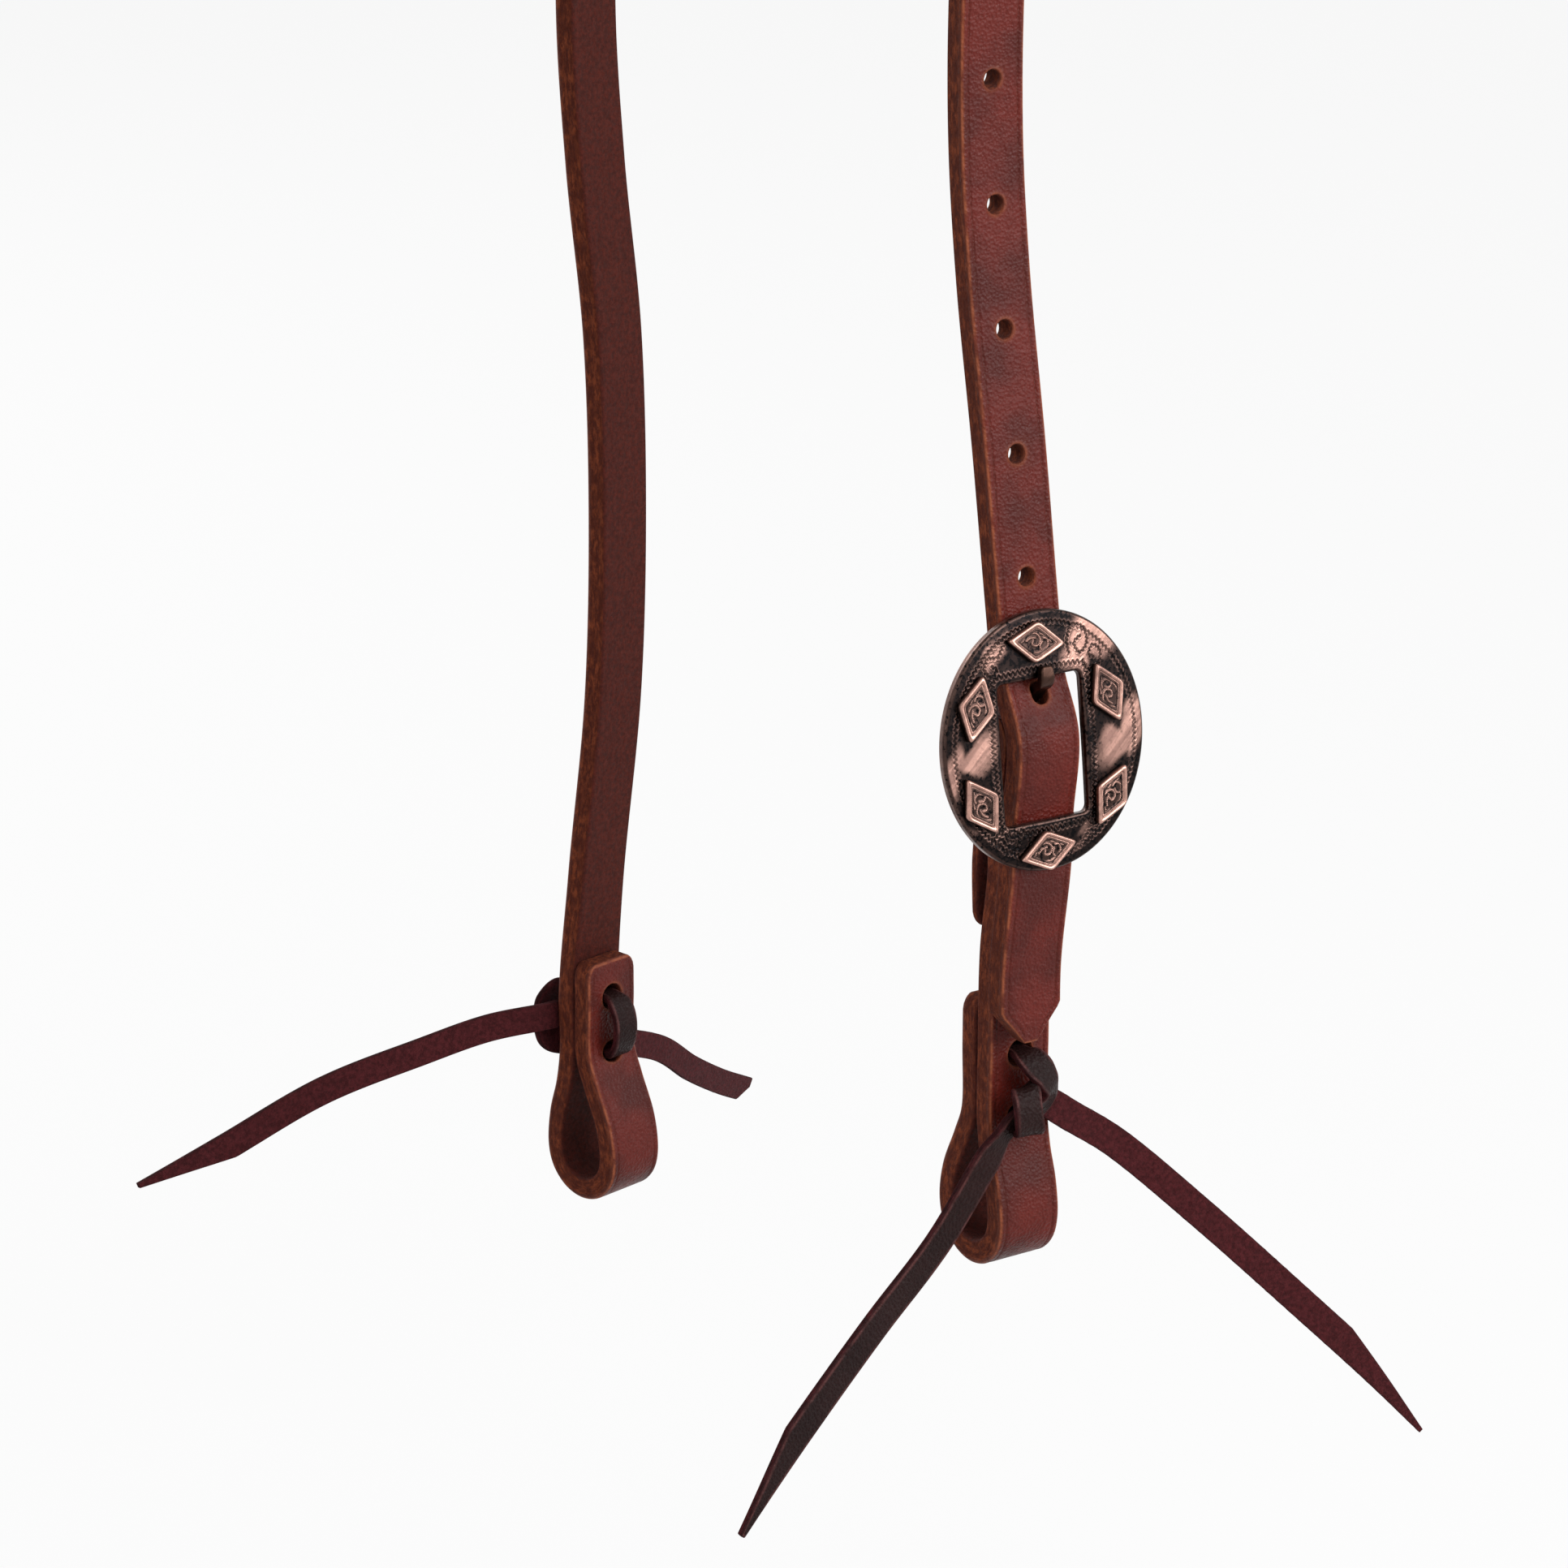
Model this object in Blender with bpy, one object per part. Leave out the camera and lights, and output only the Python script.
"""Western headstall: a slit-ear crown strap, a buckled near cheek piece, and two latigo bit ties.

Frame: metres, +Z up. X runs across the straps, the near cheek hangs at -Y and the off cheek at +Y,
and the origin lies under the middle of the crown, where it rests on the poll.
Every strap, the tongue and the laces are cut flat as blanks, punched flat, and then bent along their routes.
"""

import math

import bmesh
import bpy
from mathutils import Matrix, Vector

# Strap leather
STRAP_WIDTH = 0.0159
STRAP_THICKNESS = 0.0055
EDGE_ROUND = 0.0009
LEAF_GAP = 0.0003  # between two leaves that lie together

# How the headstall hangs
CROWN_RADIUS = 0.085  # centreline of the crown's half turn
BAR_DROP = 0.347  # poll to buckle bar
BAR_INSET = 0.0020  # the buckle bar hangs in from the crown's side by this
BAR_OUT = CROWN_RADIUS - BAR_INSET
NEAR_LOOP_DROP = 0.470  # poll to the lowest point of the near bit loop
OFF_LOOP_DROP = 0.512
NEAR_BOW = 0.0100  # the near strap draws in by this above the buckle
NEAR_LEAN = 0.0042  # and leans sideways by this
OFF_SPREAD = 0.0035  # and the off cheek hangs out by this
OFF_OUT = CROWN_RADIUS + OFF_SPREAD
OFF_BOW = 0.0030
OFF_LEAN = 0.0061
CHEEK_STEP = 0.0005  # near cheek out from the buckle bar
NEAR_CHEEK_OUT = BAR_OUT + CHEEK_STEP
OFF_YAW = math.radians(18)  # turn of the strap about the vertical
OFF_LOOP_YAW = math.radians(13)
BUCKLE_LEAN = math.radians(8)  # top of the buckle leans in towards the head

# Billet
TAIL_HANG = 0.0675  # buckle bar down to the point of the billet
TAIL_STEP = 0.0076  # the billet's tail lies out from the buckle bar by this
TAIL_OUT = BAR_OUT + TAIL_STEP
TAIL_LEAN = 0.0022
POINT_LENGTH = 0.0078
POINT_BLUNT = 0.0030
HOLE_DIAMETER = 0.0040
HOLE_PITCH = 0.0264
HOLE_COUNT = 6
TONGUE_HOLE_PLAY = 0.0018  # stretched room under the tongue

# Slit ear
EAR_ANGLE = math.radians(50)  # from the top of the crown, down the off side
EAR_WIDTH = 0.0380
EAR_SPREAD = 0.1650
SLIT_LENGTH = 0.1050
SLIT_WIDTH = 0.0100

# Buckle
PLATE_WIDTH = 0.0520
PLATE_HEIGHT = 0.0562
PLATE_LOWER = 0.0004  # the plate's middle lies below the bar by this
PLATE_THICKNESS = 0.0019
PLATE_DOME = 0.0008
PLATE_BEVEL = 0.0007
WINDOW_WIDTH = 0.0218
WINDOW_HEIGHT = 0.0308
WINDOW_LOWER = 0.0021  # the window's middle lies below the bar by this
WINDOW_SIDE = 0.0008  # and to the left of the billet's middle by this
WINDOW_CORNER = 0.0016
BAR_RADIUS = 0.0019
BAR_SETBACK = 0.0085  # bar to the plane of the plate's rim
LUG_LENGTH = 0.0058
LUG_WIDTH = 0.0034
LUG_WALL = 0.0020  # metal round the bar's hole
BAR_HEAD = 0.0004  # bar end past its lug
SEAT = 0.0003  # running and seating clearance

# Tongue
TONGUE_WIDTH = 0.0034
TONGUE_THICKNESS = 0.0019
TONGUE_LIFT = math.radians(36)  # slope of the shank through the billet
TONGUE_TIP_GAP = 0.0006  # tip to the overlay above it
TONGUE_CURL = math.radians(300)  # how far the tongue is curled round the bar

# Overlays on the plate
OVERLAY_LENGTH = 0.0150
OVERLAY_WIDTH = 0.0093
OVERLAY_THICKNESS = 0.0012
OVERLAY_RIM = 0.0010
OVERLAY_SINK = 0.0004
OVERLAY_ROUND = 0.0006
# Middle of each overlay, right and up from the bar in shares of the plate's half sizes, and its turn in degrees
OVERLAY_SHARES = (
    (-0.058, 0.754, -10),
    (0.619, 0.270, 112),
    (0.600, -0.523, 56),
    (-0.069, -0.850, 7),
    (-0.696, -0.404, 118),
    (-0.687, 0.335, 72),
)

TONGUE_TIP_RISE = PLATE_HEIGHT / 2 * OVERLAY_SHARES[0][1] - OVERLAY_WIDTH / 2 - TONGUE_TIP_GAP

# Cheek piece
FOLD_THICKNESS = 0.0043  # leather where it is thinned round the bar
SKIVE_THICKNESS = 0.0022
SKIVE_LENGTH = 0.0440  # buckle bar to the thinned end
SLOT_PLAY = 0.0004  # each side of the tongue in its slot

# Bit loops
LOOP_DEPTH = 0.0240  # over both leaves
LOOP_BULGE = 0.0046  # outer leaf forward of its own line
LEAF_LENGTH = 0.0625  # lowest point of the loop to the end of the short leaf
LEAF_END_ROUND = 0.0040
LEAF_END_SHARE = 0.62  # flat part of a leaf's end
TIE_HOLE_DIAMETER = 0.0062
TIE_PITCH = 0.0150
NEAR_TIE_HEIGHT = 0.0430  # lowest point of the loop to midway between the tie holes
OFF_TIE_HEIGHT = 0.0455

# Latigo laces
LACE_WIDTH = 0.0069
LACE_THICKNESS = 0.0018
LACE_EDGE = 0.0004
LACE_TAPER = 0.0240
LACE_IN_HOLE_SHARE = 0.72  # the lace curls narrower where it passes a hole
BRIDGE_RISE = 0.0034  # the lace stands off the short leaf by this between its holes

OVERRUN = 0.0040  # cutters past what they cut
ROUTE_STEP = 0.0004
TURN_STEP = math.radians(8)
LACE_TURN_STEP = math.radians(20)
LONGEST_STEP = 0.030

LEATHER = (0.150, 0.036, 0.024)
LATIGO = (0.050, 0.018, 0.015)
COPPER = (0.300, 0.165, 0.120)
DARK_COPPER = (0.110, 0.055, 0.040)

ACROSS = Vector((1, 0, 0))


def clear_scene():
    for old in list(bpy.data.objects):
        bpy.data.objects.remove(old, do_unlink=True)
    for name in ("western_headstall", "cutters"):
        collection = bpy.data.collections.new(name)
        bpy.context.scene.collection.children.link(collection)


def make_material(name, colour, roughness, metallic):
    material = bpy.data.materials.new(name)
    material.use_nodes = True
    shader = material.node_tree.nodes["Principled BSDF"]
    shader.inputs["Base Color"].default_value = (*colour, 1)
    shader.inputs["Roughness"].default_value = roughness
    shader.inputs["Metallic"].default_value = metallic
    return material


def add_object(name, bm, material=None, cutter=False):
    mesh = bpy.data.meshes.new(name)
    bmesh.ops.recalc_face_normals(bm, faces=bm.faces)
    if bm.calc_volume(signed=True) < 0:
        bmesh.ops.reverse_faces(bm, faces=bm.faces)
    bm.to_mesh(mesh)
    bm.free()
    made = bpy.data.objects.new(name, mesh)
    collection = bpy.data.collections["cutters" if cutter else "western_headstall"]
    collection.objects.link(made)
    if material:
        mesh.materials.append(material)
    if cutter:
        made.hide_render = True
        made.display_type = "WIRE"
    return made


class Route:
    """A smooth curve through points, each with the direction across the strap there."""

    def __init__(self, points, across):
        self.points = []
        self.across = []
        spans = len(points) - 1
        padded = [points[0] * 2 - points[1]] + points + [points[-1] * 2 - points[-2]]
        turned = [across[0]] + across + [across[-1]]
        for i in range(spans):
            count = max(2, math.ceil((points[i + 1] - points[i]).length / ROUTE_STEP))
            for step in range(count + (i == spans - 1)):
                share = step / count
                self.points.append(spline(padded[i : i + 4], share, True))
                self.across.append(spline(turned[i : i + 4], share, False))
        self.lengths = [0.0]
        for a, b in zip(self.points, self.points[1:]):
            self.lengths.append(self.lengths[-1] + (b - a).length)
        self.length = self.lengths[-1]

    def index(self, s):
        low, high = 0, len(self.lengths) - 2
        while low < high:
            middle = (low + high + 1) // 2
            if self.lengths[middle] <= s:
                low = middle
            else:
                high = middle - 1
        return low

    def frame(self, s):
        """The point, the way along, the way across and the way out through the grain at s."""
        i = self.index(s)
        span = self.lengths[i + 1] - self.lengths[i]
        share = (s - self.lengths[i]) / span
        point = self.points[i].lerp(self.points[i + 1], share)
        before, after = max(i - 2, 0), min(i + 3, len(self.points) - 1)
        along = (self.points[after] - self.points[before]).normalized()
        across = self.across[i].lerp(self.across[i + 1], share)
        across = (across - along * across.dot(along)).normalized()
        return point, along, across, across.cross(along)

    def stations(self, turn_step):
        """Places along the route that are close together where it bends or twists."""
        found = [0.0]
        _, along, across, _ = self.frame(0.0)
        turned = 0.0
        for s in self.lengths[1:]:
            _, next_along, next_across, _ = self.frame(s)
            turned += next_along.angle(along, 0.0) + next_across.angle(across, 0.0)
            along, across = next_along, next_across
            if turned > turn_step or s - found[-1] > LONGEST_STEP:
                found.append(s)
                turned = 0.0
        if self.length - found[-1] < ROUTE_STEP * 2:
            found.pop()
        return found[1:]

    def nearest(self, point):
        i = min(range(len(self.points)), key=lambda n: (self.points[n] - point).length)
        return self.lengths[i]

    def at_height(self, z, first, last):
        """Where the route passes the height z between the places first and last."""
        low, high = first, last
        rising = self.frame(last)[0].z > self.frame(first)[0].z
        for _ in range(40):
            middle = (low + high) / 2
            if (self.frame(middle)[0].z < z) == rising:
                low = middle
            else:
                high = middle
        return (low + high) / 2


def spline(four, share, centripetal):
    """A point of a Catmull-Rom curve between the middle two of four."""
    a, b, c, d = four
    if not centripetal:
        return b.lerp(c, share * share * (3 - 2 * share))
    knots = [0.0]
    for p, q in zip(four, four[1:]):
        knots.append(knots[-1] + math.sqrt((q - p).length))
    t = knots[1] + (knots[2] - knots[1]) * share

    def blend(p, q, start, end):
        return p.lerp(q, (t - start) / (end - start))

    first = blend(a, b, knots[0], knots[1])
    second = blend(b, c, knots[1], knots[2])
    third = blend(c, d, knots[2], knots[3])
    left = blend(first, second, knots[0], knots[2])
    right = blend(second, third, knots[1], knots[3])
    return blend(left, right, knots[1], knots[2])


def blank(name, material, length, width, thickness, edge, stations, shares):
    """A flat strip along X with rounded edges. shares(s) gives its width and thickness at s."""
    bm = bmesh.new()
    bmesh.ops.create_cube(bm, size=1)
    bmesh.ops.scale(bm, vec=(length, width, thickness), verts=bm.verts)
    bmesh.ops.translate(bm, vec=(length / 2, 0, 0), verts=bm.verts)
    long_edges = [e for e in bm.edges if abs(e.verts[0].co.x - e.verts[1].co.x) > length / 2]
    bmesh.ops.bevel(bm, geom=long_edges, offset=edge, segments=2, profile=0.5, affect="EDGES", material=-1)
    for s in stations:
        everything = bm.verts[:] + bm.edges[:] + bm.faces[:]
        bmesh.ops.bisect_plane(bm, geom=everything, plane_co=(s, 0, 0), plane_no=(1, 0, 0))
    for vertex in bm.verts:
        wide, thick = shares(vertex.co.x)
        vertex.co.y *= wide
        vertex.co.z *= thick
    return add_object(name, bm, material)


def punch_round(bm, s, diameter, depth, slope=0.0, across=0.0):
    """A round cutter through the blank at s, leaning along it by slope."""
    turn = Matrix.Rotation(slope, 4, "Y")
    place = Matrix.Translation((s, across, 0)) @ turn
    bmesh.ops.create_cone(
        bm,
        cap_ends=True,
        segments=16,
        radius1=diameter / 2,
        radius2=diameter / 2,
        depth=depth,
        matrix=place,
    )


def punch_slot(bm, s, length, width, depth, slope=0.0):
    """An oblong cutter with round ends through the blank at s."""
    ends = (length - width) / 2
    place = Matrix.Translation((s, 0, 0)) @ Matrix.Rotation(slope, 4, "Y")
    ring = []
    for step in range(20):
        angle = math.tau * step / 20 + math.tau / 40
        shift = math.copysign(ends, math.cos(angle))
        ring.append((shift + width / 2 * math.cos(angle), width / 2 * math.sin(angle)))
    low = [bm.verts.new(place @ Vector((x, y, -depth / 2))) for x, y in ring]
    face = bm.faces.new(low)
    lifted = bmesh.ops.extrude_face_region(bm, geom=[face])["geom"]
    raised = [v for v in lifted if isinstance(v, bmesh.types.BMVert)]
    bmesh.ops.translate(bm, vec=place.to_3x3() @ Vector((0, 0, depth)), verts=raised)


def apply_boolean(target, other, operation):
    modifier = target.modifiers.new(operation.lower(), "BOOLEAN")
    modifier.operation = operation
    modifier.object = other
    graph = bpy.context.evaluated_depsgraph_get()
    mesh = bpy.data.meshes.new_from_object(target.evaluated_get(graph))
    target.modifiers.clear()
    target.data = mesh
    bpy.data.objects.remove(other, do_unlink=True)


def bend(strip, route):
    """Lays a flat blank along its route."""
    for vertex in strip.data.vertices:
        s, wide, thick = vertex.co
        inside = min(max(s, 0.0), route.length)
        point, along, across, out = route.frame(inside)
        vertex.co = point + along * (s - inside) - across * wide + out * thick
    strip.data.shade_smooth()
    strip.data.set_sharp_from_angle(angle=math.radians(40))


def end_share(distance, length, blunt):
    """The width of a rounded end, as a share, at a distance from its tip."""
    if distance >= length:
        return 1.0
    return blunt + (1 - blunt) * math.sqrt(max(0.0, 1 - (1 - distance / length) ** 2))


def point_share(distance, length, blunt):
    """The width of a straight-sided point, as a share, at a distance from its tip."""
    return min(1.0, blunt + (1 - blunt) * distance / length)


def ease(x):
    x = min(max(x, 0.0), 1.0)
    return x * x * (3 - 2 * x)


def at_bar(out, up, side=0.0):
    """A point given from the buckle bar, in the plane that the buckle leans to."""
    lean = Matrix.Rotation(-BUCKLE_LEAN, 3, "X")
    return Vector((0, -BAR_OUT, -BAR_DROP)) + lean @ Vector((side, -out, up))


def plate_out(x, up):
    """How far out from the bar the back of the plate is."""
    fall = (2 * x / PLATE_WIDTH) ** 2 + (2 * (up + PLATE_LOWER) / PLATE_HEIGHT) ** 2
    return BAR_SETBACK + PLATE_DOME * (1 - fall)


# Half thicknesses and clearances that place the layers at the buckle
HALF = STRAP_THICKNESS / 2
FOLD_INNER = BAR_RADIUS + SEAT
FOLD_MIDDLE = FOLD_INNER + FOLD_THICKNESS / 2
FOLD_OUTER = FOLD_INNER + FOLD_THICKNESS
BILLET_OUT = FOLD_OUTER + SEAT + HALF
PLATE_TOP = PLATE_HEIGHT / 2 - PLATE_LOWER
PLATE_LOW = -PLATE_HEIGHT / 2 - PLATE_LOWER
WINDOW_TOP = WINDOW_HEIGHT / 2 - WINDOW_LOWER
WINDOW_LOW = -WINDOW_HEIGHT / 2 - WINDOW_LOWER


def billet_out(up):
    """How far out from the bar the billet's middle can lie behind the plate."""
    return plate_out(0, up) - 2 * SEAT - HALF


# Near strap above the buckle: share of the way up to the crown, of its bow and of its lean
NEAR_HANG_SHARES = (
    (0.24, 0.33, 0.26),
    (0.37, 0.80, 0.52),
    (0.48, 1.00, 0.74),
    (0.60, 0.92, 0.93),
    (0.74, 0.58, 1.00),
    (0.88, 0.13, 0.60),
)
# Off strap below the crown: share of the way down to its ties, of its bow outward and of its lean
OFF_HANG_SHARES = (
    (0.14, -0.20, 0.05),
    (0.34, 0.35, 0.42),
    (0.45, 0.10, 0.16),
    (0.56, -0.60, -0.32),
    (0.68, -0.80, -0.40),
    (0.80, -0.45, -0.20),
    (0.92, 0.00, 0.55),
)


def crown_points():
    """The crown's half turn, from the near side over the top."""
    centre = HALF - CROWN_RADIUS
    points = []
    for step in range(13):
        angle = math.pi * (step / 12 - 0.5)
        y, z = CROWN_RADIUS * math.sin(angle), centre + CROWN_RADIUS * math.cos(angle)
        points.append(Vector((0, y, z)))
    return points


def loop_points(base, outward, drop, tie):
    """A bit loop's line, from the tie down the outer leaf, round, and up to the end of the short leaf.

    base is where the outer leaf's line meets the height of the lowest point, less its own height.
    """
    radius = (LOOP_DEPTH - STRAP_THICKNESS) / 2
    middle = LOOP_BULGE - radius
    inner = -(STRAP_THICKNESS + LEAF_GAP)
    low_hole = tie - TIE_PITCH / 2
    top_hole = tie + TIE_PITCH / 2
    line = [(0, top_hole), (0, low_hole)]
    line.append((LOOP_BULGE * 0.30, low_hole * 0.76))
    line.append((LOOP_BULGE * 0.82, low_hole * 0.54))
    for step in range(7):
        angle = -math.pi * step / 6
        line.append((middle + radius * math.cos(angle), HALF + radius + radius * math.sin(angle)))
    spread = middle - radius - inner
    line.append((inner + spread * 0.86, low_hole * 0.54))
    line.append((inner + spread * 0.34, low_hole * 0.80))
    line.append((inner, low_hole))
    line.append((inner, top_hole))
    line.append((inner, LEAF_LENGTH))
    return [base + outward * out + Vector((0, 0, height - drop)) for out, height in line]


def crown_route():
    """The long strap's line, from the billet's point over the crown to the off bit loop's short leaf."""
    points, yaws = [], []

    def add(point, yaw):
        points.append(point)
        yaws.append(yaw)

    add(Vector((-TAIL_LEAN, -TAIL_OUT, -BAR_DROP - TAIL_HANG)), 0)
    add(Vector((-TAIL_LEAN, -TAIL_OUT, -BAR_DROP - TAIL_HANG * 0.74)), 0)
    add(at_bar(billet_out(PLATE_LOW), PLATE_LOW, -TAIL_LEAN / 2), 0)
    add(at_bar(billet_out(WINDOW_LOW), WINDOW_LOW), 0)
    add(at_bar(BILLET_OUT, 0), 0)
    add(at_bar(billet_out(WINDOW_TOP), WINDOW_TOP), 0)
    add(at_bar(billet_out(PLATE_TOP), PLATE_TOP), 0)
    foot = HALF - CROWN_RADIUS
    rise = foot + BAR_DROP
    for height, bow, lean in NEAR_HANG_SHARES:
        y = -BAR_OUT + NEAR_BOW * bow - SEAT * (1 - bow)
        add(Vector((-NEAR_LEAN * lean, y, -BAR_DROP + rise * height)), 0)
    for point in crown_points():
        add(point, 0)
    off = Vector((0, OFF_OUT, 0))
    fall = OFF_LOOP_DROP - OFF_TIE_HEIGHT - TIE_PITCH / 2 + foot
    for height, bow, lean in OFF_HANG_SHARES:
        share = ease(height * 3)
        y = CROWN_RADIUS + (OFF_OUT - CROWN_RADIUS) * share + OFF_BOW * bow
        add(Vector((-OFF_LEAN * lean, y, foot - fall * height)), OFF_YAW * share)
    turned = Vector((-math.sin(OFF_LOOP_YAW), math.cos(OFF_LOOP_YAW), 0))
    off.x = -OFF_LEAN
    for point in loop_points(off, turned, OFF_LOOP_DROP, OFF_TIE_HEIGHT):
        add(point, OFF_LOOP_YAW)
    return Route(points, [Vector((math.cos(yaw), math.sin(yaw), 0)) for yaw in yaws])


def cheek_route():
    """The near cheek piece's line, from its thinned end over the buckle bar to the near bit loop's short leaf."""
    main_low = plate_main(WINDOW_LOW)
    points = []
    back = STRAP_THICKNESS / 2 + LEAF_GAP
    cheek = -BAR_OUT + NEAR_CHEEK_OUT
    end_out = cheek - back - SKIVE_THICKNESS / 2
    lift = Vector((0, -BAR_OUT, -BAR_DROP))
    points.append(lift + Vector((0, -end_out, -SKIVE_LENGTH)))
    points.append(lift + Vector((0, -end_out + SEAT, -SKIVE_LENGTH * 0.68)))
    points.append(at_bar(-FOLD_MIDDLE * 1.04, -SKIVE_LENGTH * 0.34))
    for step in range(9):
        angle = math.pi * (1 - step / 8)
        points.append(at_bar(FOLD_MIDDLE * math.cos(angle), FOLD_MIDDLE * math.sin(angle)))
    points.append(at_bar((FOLD_MIDDLE + main_low) / 2 + SEAT, WINDOW_LOW * 0.45))
    points.append(at_bar(main_low, WINDOW_LOW))
    points.append(at_bar(plate_main(PLATE_LOW), PLATE_LOW))
    points.append(Vector((0, -NEAR_CHEEK_OUT - SEAT, -BAR_DROP - TAIL_HANG * 0.72)))
    base = Vector((0, -NEAR_CHEEK_OUT, 0))
    points += loop_points(base, Vector((0, -1, 0)), NEAR_LOOP_DROP, NEAR_TIE_HEIGHT)
    return Route(points, [-ACROSS] * len(points))


def plate_main(up):
    """How far out from the bar the cheek piece's middle lies behind the billet."""
    return billet_out(up) - STRAP_THICKNESS - SEAT


def make_crown_strap(material):
    route = crown_route()
    ear = Vector((0, math.sin(EAR_ANGLE), math.cos(EAR_ANGLE))) * CROWN_RADIUS
    ear_at = route.nearest(ear + Vector((0, 0, HALF - CROWN_RADIUS)))

    def shares(s):
        width = point_share(s, POINT_LENGTH, POINT_BLUNT / STRAP_WIDTH)
        width *= end_share(route.length - s, LEAF_END_ROUND, LEAF_END_SHARE)
        near = 1 - ease((abs(s - ear_at) * 2 - SLIT_LENGTH * 0.5) / (EAR_SPREAD - SLIT_LENGTH * 0.5))
        return width * (1 + (EAR_WIDTH / STRAP_WIDTH - 1) * near), 1.0

    stations = route.stations(TURN_STEP)
    stations += [POINT_LENGTH] + [route.length - LEAF_END_ROUND * share for share in (0.1, 0.35, 0.7, 1)]
    stations += [ear_at + EAR_SPREAD * share / 16 for share in range(-8, 9)]
    strip = blank(
        "crown_strap",
        material,
        route.length,
        STRAP_WIDTH,
        STRAP_THICKNESS,
        EDGE_ROUND,
        sorted(stations),
        shares,
    )
    cutter = bmesh.new()
    depth = STRAP_THICKNESS + OVERRUN
    tongue, slope = tongue_crossing(route)
    shank = TONGUE_THICKNESS + 6 * SEAT + TONGUE_HOLE_PLAY
    under = (TONGUE_HOLE_PLAY / 2 - SEAT) / math.cos(slope)
    worn = tongue - under
    punch_slot(cutter, worn, shank, TONGUE_WIDTH + 2 * SEAT, depth * 2, slope)
    for step in range(1, HOLE_COUNT):
        punch_round(cutter, worn + HOLE_PITCH * step, HOLE_DIAMETER, depth)
    punch_slot(cutter, ear_at, SLIT_LENGTH, SLIT_WIDTH, depth)
    for s in tie_places(route, OFF_LOOP_DROP, OFF_TIE_HEIGHT):
        punch_round(cutter, s, TIE_HOLE_DIAMETER, depth)
    apply_boolean(strip, add_object("strap_holes", cutter, cutter=True), "DIFFERENCE")
    bend(strip, route)
    return strip


def tie_places(route, drop, tie):
    """Where the tie holes come along the blank, in the outer leaf and in the short leaf."""
    bottom = min(range(len(route.points)), key=lambda n: route.points[n].z)
    low = route.lengths[bottom]
    heights = [tie - TIE_PITCH / 2, tie + TIE_PITCH / 2]
    outer = [route.at_height(h - drop, low - LEAF_LENGTH * 1.5, low) for h in heights]
    short = [route.at_height(h - drop, low, route.length) for h in heights]
    return outer + short


def shank_line():
    """Where the tongue leaves its curl, and the way that its shank goes, as out from the bar and up."""
    curl = BAR_RADIUS + SEAT + TONGUE_THICKNESS / 2
    leave = math.pi / 2 + TONGUE_LIFT
    start = Vector((curl * math.cos(leave), curl * math.sin(leave)))
    return start, Vector((math.cos(TONGUE_LIFT), math.sin(TONGUE_LIFT)))


def tongue_crossing(route):
    """Where the tongue's shank crosses the billet, along the blank, and how it leans there."""
    start, run = shank_line()
    origin = at_bar(*start)
    way = at_bar(*(start + run)) - origin

    def miss(n):
        off = route.points[n] - origin
        return (off - way * off.dot(way)).length

    s = route.lengths[min(range(len(route.points)), key=miss)]
    _, along, _, out = route.frame(s)
    return s, math.atan2(way.dot(along), way.dot(out))


def make_cheek_piece(material):
    route = cheek_route()
    start = route.nearest(at_bar(-FOLD_MIDDLE, 0))
    end = route.nearest(at_bar(FOLD_MIDDLE, 0))

    def shares(s):
        width = end_share(s, LEAF_END_ROUND, LEAF_END_SHARE)
        width *= end_share(route.length - s, LEAF_END_ROUND, LEAF_END_SHARE)
        if s < start:
            thickness = SKIVE_THICKNESS + (FOLD_THICKNESS - SKIVE_THICKNESS) * ease(s / start)
        else:
            grown = ease((end - s) / WINDOW_LOW)
            thickness = FOLD_THICKNESS + (STRAP_THICKNESS - FOLD_THICKNESS) * grown
        return width, thickness / STRAP_THICKNESS

    stations = route.stations(TURN_STEP)
    for share in (0.1, 0.35, 0.7, 1):
        stations += [LEAF_END_ROUND * share, route.length - LEAF_END_ROUND * share]
    strip = blank(
        "cheek_piece",
        material,
        route.length,
        STRAP_WIDTH,
        STRAP_THICKNESS,
        EDGE_ROUND,
        sorted(stations),
        shares,
    )
    cutter = bmesh.new()
    depth = STRAP_THICKNESS + OVERRUN
    curl = TONGUE_THICKNESS + SEAT + BAR_RADIUS + SEAT
    beyond = math.sqrt(curl * curl - FOLD_INNER * FOLD_INNER) + TONGUE_WIDTH / 2 + SEAT
    slot = end - start + 2 * beyond
    punch_slot(cutter, (start + end) / 2, slot, TONGUE_WIDTH + 2 * SLOT_PLAY, depth)
    for s in tie_places(route, NEAR_LOOP_DROP, NEAR_TIE_HEIGHT):
        punch_round(cutter, s, TIE_HOLE_DIAMETER, depth)
    apply_boolean(strip, add_object("cheek_holes", cutter, cutter=True), "DIFFERENCE")
    bend(strip, route)
    return strip


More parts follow.
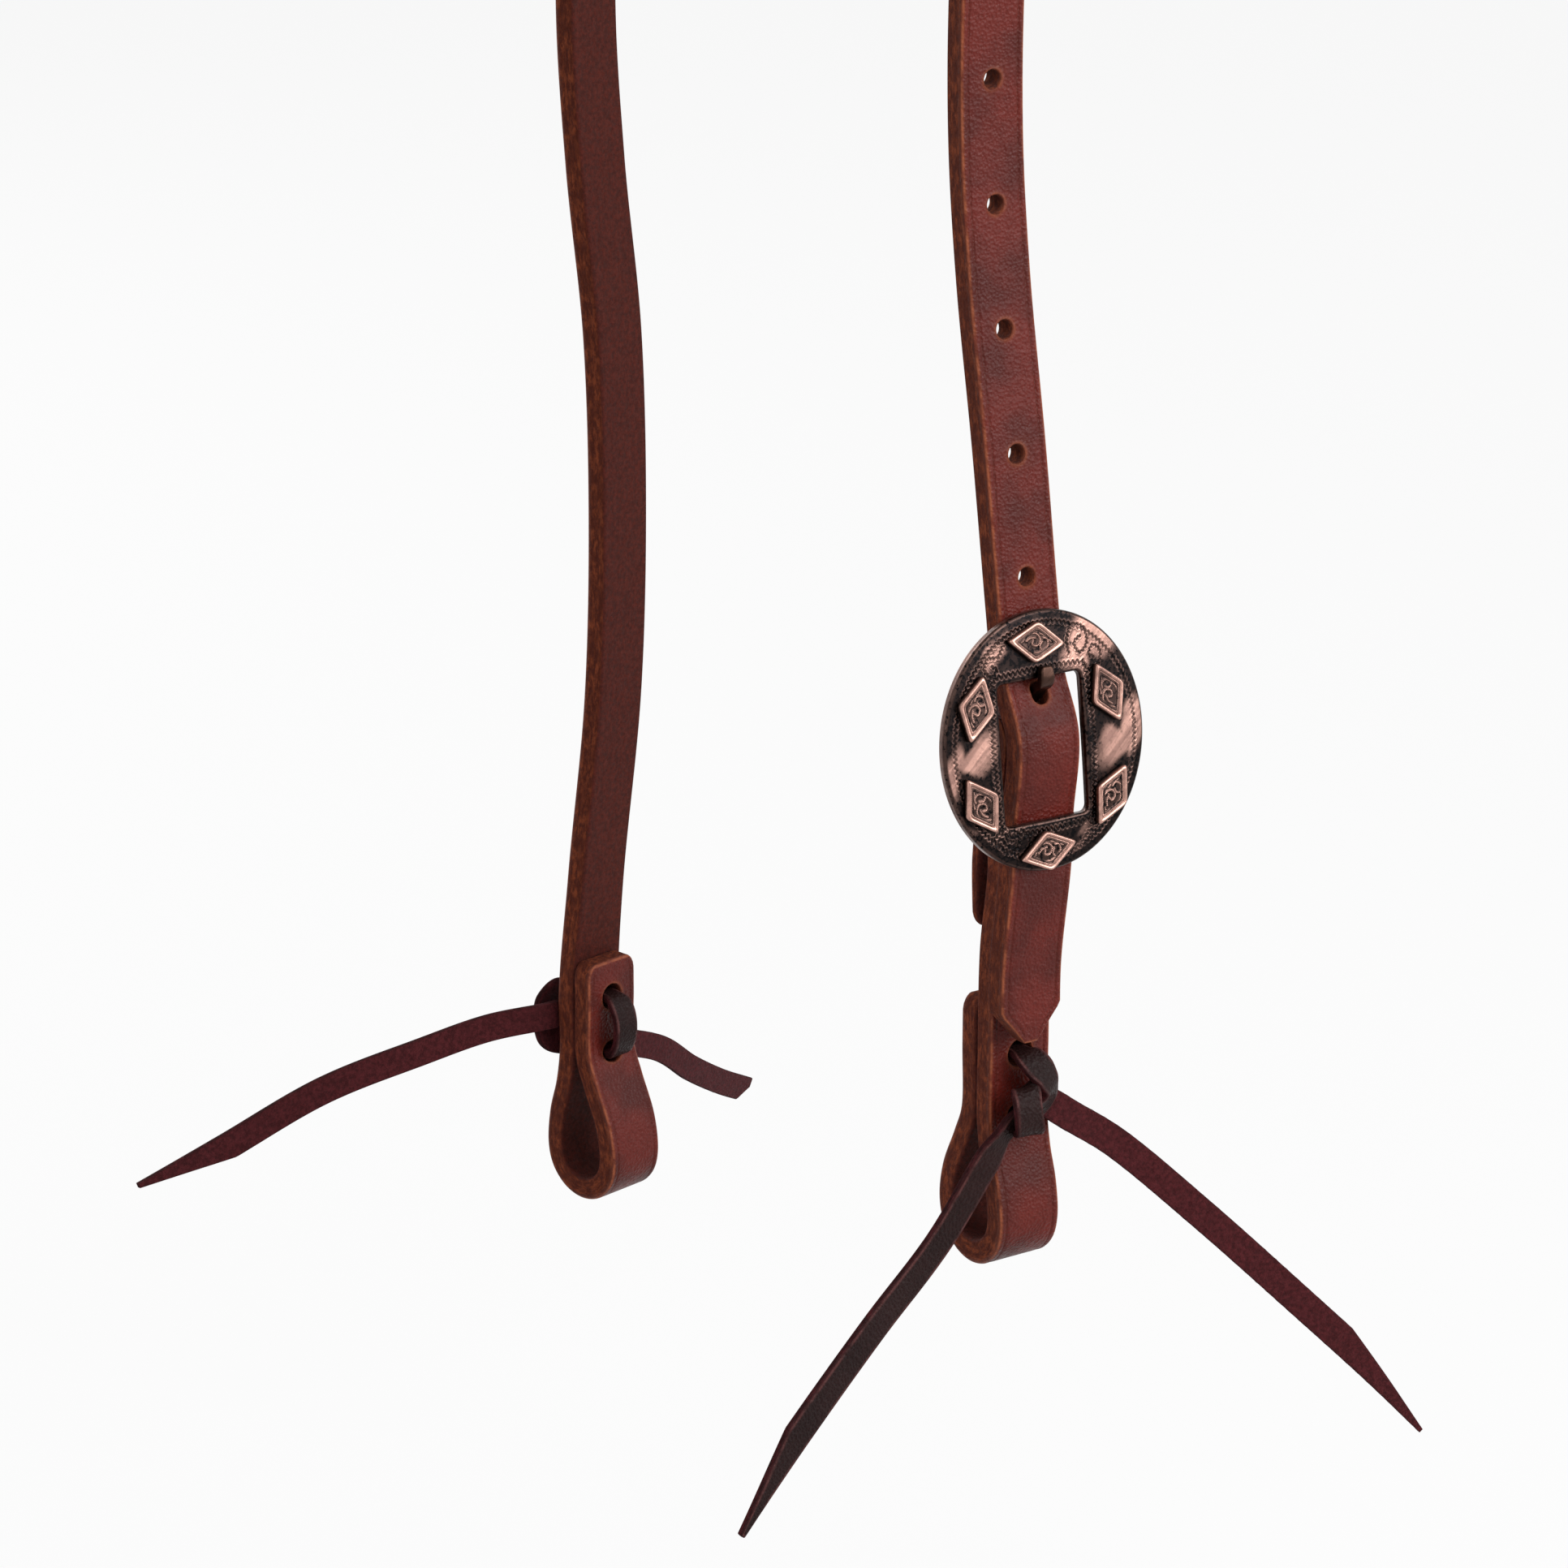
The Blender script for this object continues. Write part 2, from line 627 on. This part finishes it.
def window_ring(count):
    """Points round the window, evenly spaced, with its rounded corners."""
    half_x, half_z = WINDOW_WIDTH / 2 - WINDOW_CORNER, WINDOW_HEIGHT / 2 - WINDOW_CORNER
    sides = [half_z * 2, WINDOW_CORNER * math.pi / 2, half_x * 2, WINDOW_CORNER * math.pi / 2]
    centres = [(half_x, half_z), (-half_x, half_z), (-half_x, -half_z), (half_x, -half_z)]
    runs = [(half_x + WINDOW_CORNER, -half_z, 0, 1), (half_x, half_z + WINDOW_CORNER, -1, 0)]
    total = 2 * sum(sides)
    ring = []
    for step in range(count):
        place = total * step / count
        half_turn = place >= total / 2
        place -= total / 2 * half_turn
        side = 0
        while place > sides[side]:
            place -= sides[side]
            side += 1
        if side % 2 == 0:
            x, z, dx, dz = runs[side // 2]
            x, z = x + dx * place, z + dz * place
        else:
            angle = (side - 1) / 2 * math.pi / 2 + place / WINDOW_CORNER
            cx, cz = centres[side // 2]
            x, z = cx + WINDOW_CORNER * math.cos(angle), cz + WINDOW_CORNER * math.sin(angle)
        ring.append((-x, -z) if half_turn else (x, z))
    return ring


def rim_distance(angle):
    """The oval rim's distance from the plate's middle, in the direction of angle."""
    a, b = PLATE_WIDTH / 2, PLATE_HEIGHT / 2
    return 1 / math.hypot(math.cos(angle) / a, math.sin(angle) / b)


def loft(bm, sections):
    """Quads between closed sections set in a closed ring."""
    rows = [[bm.verts.new(point) for point in section] for section in sections]
    for row, following in zip(rows, rows[1:] + rows[:1]):
        for i in range(len(row)):
            j = (i + 1) % len(row)
            bm.faces.new((row[i], row[j], following[j], following[i]))


def make_plate(material):
    """The domed oval plate, with its window and the two lugs that carry the bar."""
    bm = bmesh.new()
    sections = []
    face_shares = (0.0, 0.3, 0.65, 1.0)
    for x, z in window_ring(72):
        angle = math.atan2(z, x)
        rim = rim_distance(angle)
        inner = Vector((x - WINDOW_SIDE, z - WINDOW_LOWER))
        outer = Vector((rim * math.cos(angle), rim * math.sin(angle) - PLATE_LOWER))
        step = (outer - inner).normalized() * PLATE_BEVEL
        section = []

        def add(place, depth):
            section.append(at_bar(plate_out(*place) + depth, place.y, place.x))

        front = PLATE_THICKNESS
        add(inner, 0)
        add(inner, front - PLATE_BEVEL)
        for share in face_shares:
            add((inner + step).lerp(outer - step, share), front)
        add(outer, front - PLATE_BEVEL)
        add(outer, 0)
        add((inner + outer) / 2, 0)
        sections.append(section)
    loft(bm, sections)
    plate = add_object("buckle_plate", bm, material)
    lug_side = WINDOW_WIDTH / 2 + SEAT + LUG_WIDTH / 2
    reach = plate_out(lug_side, 0) + PLATE_THICKNESS / 2
    for side in (-1, 1):
        lug = bmesh.new()
        back = -(BAR_RADIUS + SEAT + LUG_WALL)
        bmesh.ops.create_cube(lug, size=1)
        bmesh.ops.scale(lug, vec=(LUG_WIDTH, reach - back, LUG_LENGTH + 2 * LUG_WALL), verts=lug.verts)
        edges = [e for e in lug.edges if abs(e.verts[0].co.x - e.verts[1].co.x) > LUG_WIDTH / 2]
        rear = [e for e in edges if e.verts[0].co.y > 0]
        bmesh.ops.bevel(
            lug,
            geom=rear,
            offset=LUG_WALL,
            segments=3,
            profile=0.5,
            affect="EDGES",
            material=-1,
        )
        for vertex in lug.verts:
            x, y, z = vertex.co
            vertex.co = at_bar((reach + back) / 2 - y, z, x + side * lug_side - WINDOW_SIDE)
        apply_boolean(plate, add_object("lug", lug, cutter=True), "UNION")
    bore = bmesh.new()
    round_bar(bore, BAR_RADIUS + SEAT, WINDOW_WIDTH + 4 * LUG_WIDTH)
    apply_boolean(plate, add_object("bore", bore, cutter=True), "DIFFERENCE")
    plate.data.shade_smooth()
    plate.data.set_sharp_from_angle(angle=math.radians(35))
    return plate


def round_bar(bm, radius, length):
    bmesh.ops.create_cone(
        bm,
        cap_ends=True,
        segments=20,
        radius1=radius,
        radius2=radius,
        depth=length,
        matrix=Matrix.Translation(at_bar(0, 0, -WINDOW_SIDE)) @ Matrix.Rotation(math.pi / 2, 4, "Y"),
    )


def make_bar(material):
    bm = bmesh.new()
    length = WINDOW_WIDTH + 2 * (SEAT + LUG_WIDTH + BAR_HEAD)
    round_bar(bm, BAR_RADIUS, length)
    bar = add_object("buckle_bar", bm, material)
    bar.data.shade_smooth()
    bar.data.set_sharp_from_angle(angle=math.radians(40))
    return bar


def make_tongue(material):
    """A flat tongue curled round the bar, up through the billet and over the top of the window."""
    away, run = shank_line()
    points = []
    for step in range(13):
        turn = Matrix.Rotation(TONGUE_CURL * (1 - step / 12), 2)
        points.append(at_bar(*(turn @ away)))
    face = plate_out(0, WINDOW_TOP) + PLATE_THICKNESS / 2
    for share in (0.35, 0.7, 1.0):
        spot = away + run * ((face - away.x) / run.x * share)
        points.append(at_bar(spot.x, spot.y))
    rest = PLATE_THICKNESS + SEAT + TONGUE_THICKNESS / 2
    edge = plate_out(0, WINDOW_TOP) + rest
    rise = spot.y + (WINDOW_TOP - spot.y) * 0.45
    points.append(at_bar(face + (edge - face) * 0.72, rise))
    points.append(at_bar(edge, WINDOW_TOP))
    points.append(at_bar(plate_out(0, TONGUE_TIP_RISE) + rest, TONGUE_TIP_RISE))
    route = Route(points, [ACROSS] * len(points))

    def shares(s):
        return end_share(route.length - s, TONGUE_WIDTH / 2, 0.4), 1.0

    stations = route.stations(TURN_STEP * 1.5)
    stations += [route.length - TONGUE_WIDTH / 2 * share for share in (0.2, 0.6, 1)]
    tongue = blank(
        "buckle_tongue",
        material,
        route.length,
        TONGUE_WIDTH,
        TONGUE_THICKNESS,
        LACE_EDGE,
        sorted(stations),
        shares,
    )
    bend(tongue, route)
    return tongue


def make_overlays(material):
    """Six raised diamonds round the plate, long ways along its rim."""
    for number, (x_share, up_share, degrees) in enumerate(OVERLAY_SHARES):
        x, up = PLATE_WIDTH / 2 * x_share, PLATE_HEIGHT / 2 * up_share
        bm = bmesh.new()
        bmesh.ops.create_circle(bm, cap_ends=True, radius=1, segments=4)
        bmesh.ops.scale(bm, vec=(OVERLAY_LENGTH / 2, OVERLAY_WIDTH / 2, 1), verts=bm.verts)
        lifted = bmesh.ops.extrude_face_region(bm, geom=bm.faces[:])["geom"]
        raised = [v for v in lifted if isinstance(v, bmesh.types.BMVert)]
        bmesh.ops.translate(bm, vec=(0, 0, OVERLAY_THICKNESS), verts=raised)
        top = [f for f in lifted if isinstance(f, bmesh.types.BMFace)]
        bmesh.ops.inset_region(bm, faces=top, thickness=OVERLAY_RIM, depth=0)
        bmesh.ops.inset_region(bm, faces=top, thickness=OVERLAY_SINK, depth=-OVERLAY_SINK)
        rises = [(e, abs(e.verts[0].co.z - e.verts[1].co.z)) for e in bm.edges]
        bmesh.ops.bevel(
            bm,
            geom=[edge for edge, rise in rises if rise > OVERLAY_THICKNESS / 2],
            offset=OVERLAY_ROUND,
            segments=2,
            profile=0.5,
            affect="EDGES",
            material=-1,
        )
        run = Vector((-x / (PLATE_WIDTH / 2) ** 2, -(up + PLATE_LOWER) / (PLATE_HEIGHT / 2) ** 2))
        run *= 2 * PLATE_DOME
        normal = Vector((-run.x, -run.y, 1)).normalized()
        tangent = Vector((math.cos(math.radians(degrees)), math.sin(math.radians(degrees)), 0))
        tangent = (tangent - normal * tangent.dot(normal)).normalized()
        side = normal.cross(tangent)
        seat = plate_out(x, up) + PLATE_THICKNESS + SEAT
        for vertex in bm.verts:
            a, b, c = vertex.co
            place = tangent * a + side * b + normal * c
            vertex.co = at_bar(seat + place.z, up + place.y, x + place.x)
        add_object(f"diamond_overlay_{number + 1}", bm, material)


# A lace's line, in metres, from the middle of its tie: right, up and out from the outer leaf's face.
# Each point has the way that the lace's width lies. The lace comes in along one tail, makes a half
# knot with its other end, and passes both leaves twice. The near lace's other end wraps over its own
# first tail, and the off lace's is tucked under it.
NEAR_FIRST_POINTS = (
    ((-0.0065, -0.0098, 0.0050), (0.35, 0.93, 0.10)),
    ((-0.0020, -0.0078, 0.0053), (0.15, 1.00, 0.00)),
    ((0.0026, -0.0064, 0.0063), (-0.15, 1.00, 0.10)),
    ((0.0058, -0.0042, 0.0070), (-0.60, 0.75, 0.20)),
    ((0.0069, -0.0004, 0.0068), (-0.92, 0.10, 0.30)),
    ((0.0054, 0.0036, 0.0056), (-0.88, -0.45, 0.15)),
    ((0.0026, 0.0066, 0.0044), (-0.88, -0.50, 0.05)),
    ((0.0006, 0.0076, 0.0022), (-0.98, -0.15, 0.00)),
    ((0.0000, 0.0076, 0.0000), (-1.00, 0.00, 0.00)),
)
OFF_FIRST_POINTS = (
    ((-0.0065, -0.0100, 0.0040), (0.35, 0.93, 0.10)),
    ((-0.0020, -0.0082, 0.0037), (0.15, 1.00, 0.00)),
    ((0.0030, -0.0074, 0.0038), (-0.15, 1.00, 0.00)),
    ((0.0068, -0.0054, 0.0046), (-0.60, 0.75, 0.25)),
    ((0.0084, -0.0008, 0.0056), (-0.88, 0.10, 0.40)),
    ((0.0066, 0.0036, 0.0058), (-0.88, -0.45, 0.15)),
    ((0.0030, 0.0066, 0.0046), (-0.88, -0.50, 0.05)),
    ((0.0006, 0.0076, 0.0022), (-0.98, -0.15, 0.00)),
    ((0.0000, 0.0076, 0.0000), (-1.00, 0.00, 0.00)),
)
WRAPPED_POINTS = (
    ((0.0000, -0.0075, -0.0010), (-1.00, 0.00, 0.00)),
    ((0.0000, -0.0070, 0.0006), (-1.00, 0.00, 0.00)),
    ((0.0000, -0.0056, 0.0012), (-1.00, 0.00, 0.00)),
    ((0.0000, -0.0030, 0.0013), (-1.00, 0.00, 0.00)),
    ((-0.0004, -0.0008, 0.0022), (-1.00, 0.00, 0.00)),
    ((-0.0010, 0.0004, 0.0050), (-1.00, 0.00, 0.00)),
    ((-0.0012, -0.0008, 0.0078), (-1.00, 0.00, 0.00)),
    ((-0.0012, -0.0044, 0.0090), (-1.00, 0.00, 0.00)),
    ((-0.0010, -0.0082, 0.0088), (-1.00, 0.00, 0.00)),
    ((-0.0008, -0.0120, 0.0076), (-1.00, 0.00, 0.00)),
    ((-0.0006, -0.0138, 0.0056), (-1.00, -0.10, 0.00)),
    ((0.0008, -0.0143, 0.0044), (-0.85, -0.53, 0.00)),
    ((0.0040, -0.0130, 0.0038), (-0.45, -0.89, 0.00)),
    ((0.0076, -0.0102, 0.0029), (-0.40, -0.92, 0.00)),
    ((0.0112, -0.0076, 0.0020), (-0.40, -0.92, 0.00)),
)
TUCKED_POINTS = (
    ((0.0000, -0.0075, -0.0010), (-1.00, 0.00, 0.00)),
    ((0.0000, -0.0070, 0.0006), (-1.00, 0.00, 0.00)),
    ((0.0000, -0.0056, 0.0012), (-1.00, 0.00, 0.00)),
    ((0.0000, -0.0030, 0.0013), (-1.00, 0.10, 0.00)),
    ((0.0008, -0.0006, 0.0014), (-0.80, 0.60, 0.00)),
    ((0.0034, 0.0012, 0.0014), (-0.30, 0.95, 0.00)),
    ((0.0066, 0.0014, 0.0014), (0.05, 1.00, 0.00)),
    ((0.0104, 0.0015, 0.0018), (0.08, 1.00, 0.00)),
)
# The rest of each tail, in world metres, out to its tip
NEAR_LEFT_TAIL = (
    ((-0.0800, -0.0970, -0.5060), (0.60, 0.10, 0.79)),
    ((-0.0620, -0.0945, -0.4905), (0.60, 0.10, 0.79)),
    ((-0.0420, -0.0915, -0.4725), (0.60, 0.10, 0.79)),
    ((-0.0240, -0.0890, -0.4572), (0.58, 0.10, 0.81)),
)
NEAR_RIGHT_TAIL = (
    ((0.0240, -0.0895, -0.4450), (-0.45, 0.04, -0.89)),
    ((0.0450, -0.0950, -0.4655), (-0.58, 0.10, -0.81)),
    ((0.0700, -0.1005, -0.4912), (-0.66, 0.15, -0.73)),
    ((0.0900, -0.1045, -0.5120), (-0.69, 0.17, -0.70)),
    ((0.1040, -0.1070, -0.5290), (-0.69, 0.17, -0.70)),
)
OFF_RIGHT_TAIL = (
    ((0.0885, 0.1640, -0.5315), (0.42, 0.08, 0.90)),
    ((0.0700, 0.1480, -0.5205), (0.42, 0.08, 0.90)),
    ((0.0500, 0.1310, -0.5070), (0.42, 0.08, 0.90)),
    ((0.0300, 0.1150, -0.4925), (0.36, 0.12, 0.92)),
)
OFF_LEFT_TAIL = (
    ((-0.0310, 0.0950, -0.4666), (-0.12, 0.10, 0.98)),
    ((-0.0500, 0.0958, -0.4692), (-0.12, 0.10, 0.98)),
    ((-0.0770, 0.0960, -0.4735), (-0.18, 0.10, 0.98)),
    ((-0.1040, 0.0960, -0.4813), (-0.24, 0.10, 0.97)),
    ((-0.1265, 0.0955, -0.4868), (-0.24, 0.10, 0.97)),
)


# The lace between its holes, on the short leaf's face: share of half the pitch, and of its rise there
BRIDGE_SHARES = (
    (1.00, -0.40),
    (0.90, 0.25),
    (0.62, 0.72),
    (0.30, 0.95),
    (0.00, 1.00),
    (-0.30, 0.95),
    (-0.62, 0.72),
    (-0.90, 0.25),
    (-1.00, -0.40),
)


def lace_route(origin, right, out, tails, knot):
    """Joins a knot's two lines, one from each hole, to the two tails."""
    up = Vector((0, 0, 1))

    def placed(point):
        return origin + right * point[0] + up * point[1] + out * point[2]

    def turned(way):
        return (right * way[0] + up * way[1] + out * way[2]).normalized()

    first, second = tails
    first_knot, second_knot = knot
    points = [Vector(point) for point, _ in first]
    across = [Vector(way).normalized() for _, way in first]
    for point, way in first_knot:
        points.append(placed(point))
        across.append(turned(way))
    inner = -(2 * STRAP_THICKNESS + LEAF_GAP)
    under = inner - SEAT - LACE_THICKNESS / 2
    half = TIE_PITCH / 2
    points.append(placed((0, half, inner / 2)))
    for height, rise in BRIDGE_SHARES:
        points.append(placed((0, half * height, under - BRIDGE_RISE * rise)))
    points.append(placed((0, -half, inner / 2)))
    across += [-right] * (len(BRIDGE_SHARES) + 2)
    for point, way in second_knot:
        points.append(placed(point))
        across.append(turned(way))
    points += [Vector(point) for point, _ in second]
    across += [Vector(way).normalized() for _, way in second]
    return Route(points, across)


def make_lace(name, material, origin, right, out, tails, knot):
    route = lace_route(origin, right, out, tails, knot)
    holes = []
    for height in (TIE_PITCH / 2, -TIE_PITCH / 2):
        middle = origin + Vector((0, 0, height)) - out * (STRAP_THICKNESS + LEAF_GAP / 2)
        holes.append(route.nearest(middle))

    def shares(s):
        width = point_share(s, LACE_TAPER, 0.16)
        width *= point_share(route.length - s, LACE_TAPER, 0.16)
        near = min(abs(s - hole) for hole in holes) - STRAP_THICKNESS
        narrow = 1 - ease(near / (LACE_THICKNESS * 2))
        return width * (1 - (1 - LACE_IN_HOLE_SHARE) * narrow), 1.0

    stations = route.stations(LACE_TURN_STEP) + [LACE_TAPER, route.length - LACE_TAPER]
    lace = blank(
        name,
        material,
        route.length,
        LACE_WIDTH,
        LACE_THICKNESS,
        LACE_EDGE,
        sorted(stations),
        shares,
    )
    bend(lace, route)
    print(name, "length", round(route.length, 4), "least gap to itself", round(least_gap(route), 5))
    return lace


def least_gap(route):
    """The least room between two stretches of one lace, measured on points of its section."""
    count = int(route.length / LACE_THICKNESS)
    rings = []
    for step in range(count):
        point, _, across, out = route.frame(route.length * step / count)
        ring = []
        for wide in (-1, -0.5, 0, 0.5, 1):
            edge = (LACE_WIDTH / 2 - LACE_THICKNESS / 2) * wide
            ring.append(point + across * edge)
        rings.append(ring)
    apart = math.ceil(LACE_WIDTH * 1.2 / LACE_THICKNESS)
    best = route.length
    for i in range(count):
        for j in range(i + apart, count):
            if (rings[i][2] - rings[j][2]).length > LACE_WIDTH * 2:
                continue
            for p in rings[i]:
                for q in rings[j]:
                    best = min(best, (p - q).length)
    return best - LACE_THICKNESS


def main():
    clear_scene()
    leather = make_material("harness_leather", LEATHER, 0.45, 0.0)
    latigo = make_material("latigo_leather", LATIGO, 0.40, 0.0)
    copper = make_material("antique_copper", COPPER, 0.35, 1.0)
    dark = make_material("dark_copper", DARK_COPPER, 0.40, 1.0)
    make_crown_strap(leather)
    make_cheek_piece(leather)
    make_plate(copper)
    make_bar(dark)
    make_tongue(dark)
    make_overlays(copper)
    near = Vector((0, -NEAR_CHEEK_OUT - HALF, NEAR_TIE_HEIGHT - NEAR_LOOP_DROP))
    make_lace(
        "near_tie_lace",
        latigo,
        near,
        Vector((1, 0, 0)),
        Vector((0, -1, 0)),
        (NEAR_LEFT_TAIL, NEAR_RIGHT_TAIL),
        (NEAR_FIRST_POINTS, WRAPPED_POINTS),
    )
    out = Vector((-math.sin(OFF_LOOP_YAW), math.cos(OFF_LOOP_YAW), 0))
    right = Vector((-math.cos(OFF_LOOP_YAW), -math.sin(OFF_LOOP_YAW), 0))
    off = Vector((-OFF_LEAN, OFF_OUT, OFF_TIE_HEIGHT - OFF_LOOP_DROP)) + out * HALF
    make_lace(
        "off_tie_lace",
        latigo,
        off,
        right,
        out,
        (OFF_RIGHT_TAIL, OFF_LEFT_TAIL),
        (OFF_FIRST_POINTS, TUCKED_POINTS),
    )


main()
